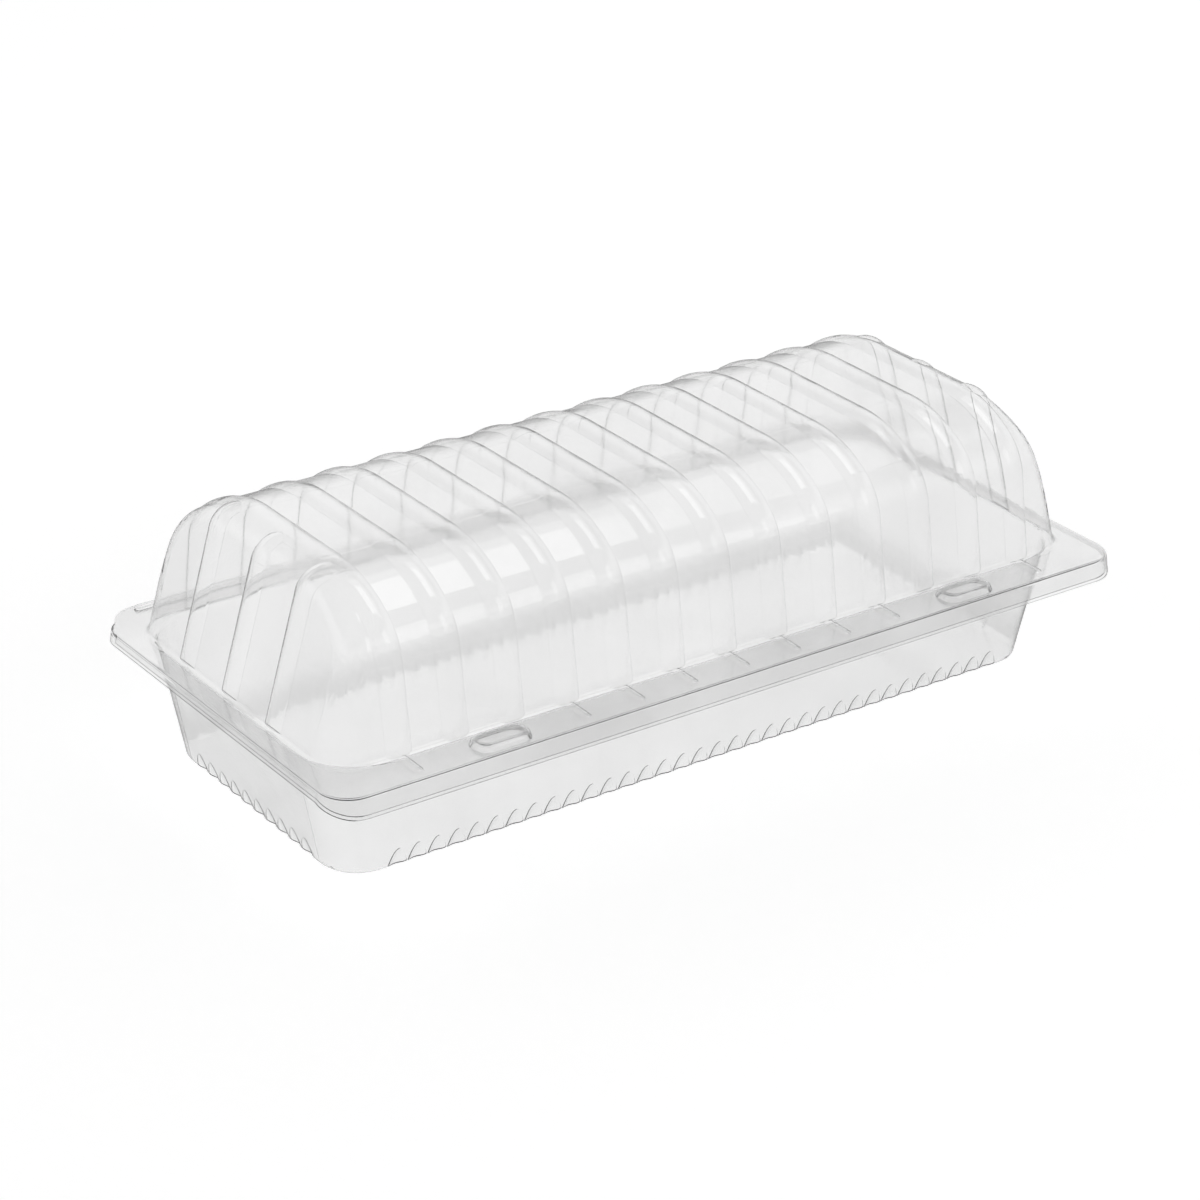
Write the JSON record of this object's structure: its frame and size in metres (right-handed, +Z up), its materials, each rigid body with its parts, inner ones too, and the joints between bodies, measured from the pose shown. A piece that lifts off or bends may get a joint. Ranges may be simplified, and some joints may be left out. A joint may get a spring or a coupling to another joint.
{
  "type": "hinged clamshell pack",
  "caption": "Long clear plastic clamshell pack with a fluted tray and a ribbed arched lid that swings up on a hinge along the back edge; a bakery roll lies inside.",
  "frame": {"origin": "middle of the tray's flat underside, where the pack stands", "axes": "+X along the pack, +Y towards the hinge at the back, +Z up"},
  "size_m": [0.301, 0.1473, 0.0913],
  "materials": {
    "tray_sheet": "clear gloss",
    "lid_sheet": "clear gloss"
  },
  "bodies": {
    "tray": {"tray": "tray_sheet"},
    "lid": {"lid": "lid_sheet"}
  },
  "joints": [
    {"name": "lid_hinge", "type": "hinge", "parent": "tray", "child": "lid", "pos_m": [0, 0.0715, 0.04113], "axis": [-1, 0, 0], "range_deg": [0, 160]}
  ]
}
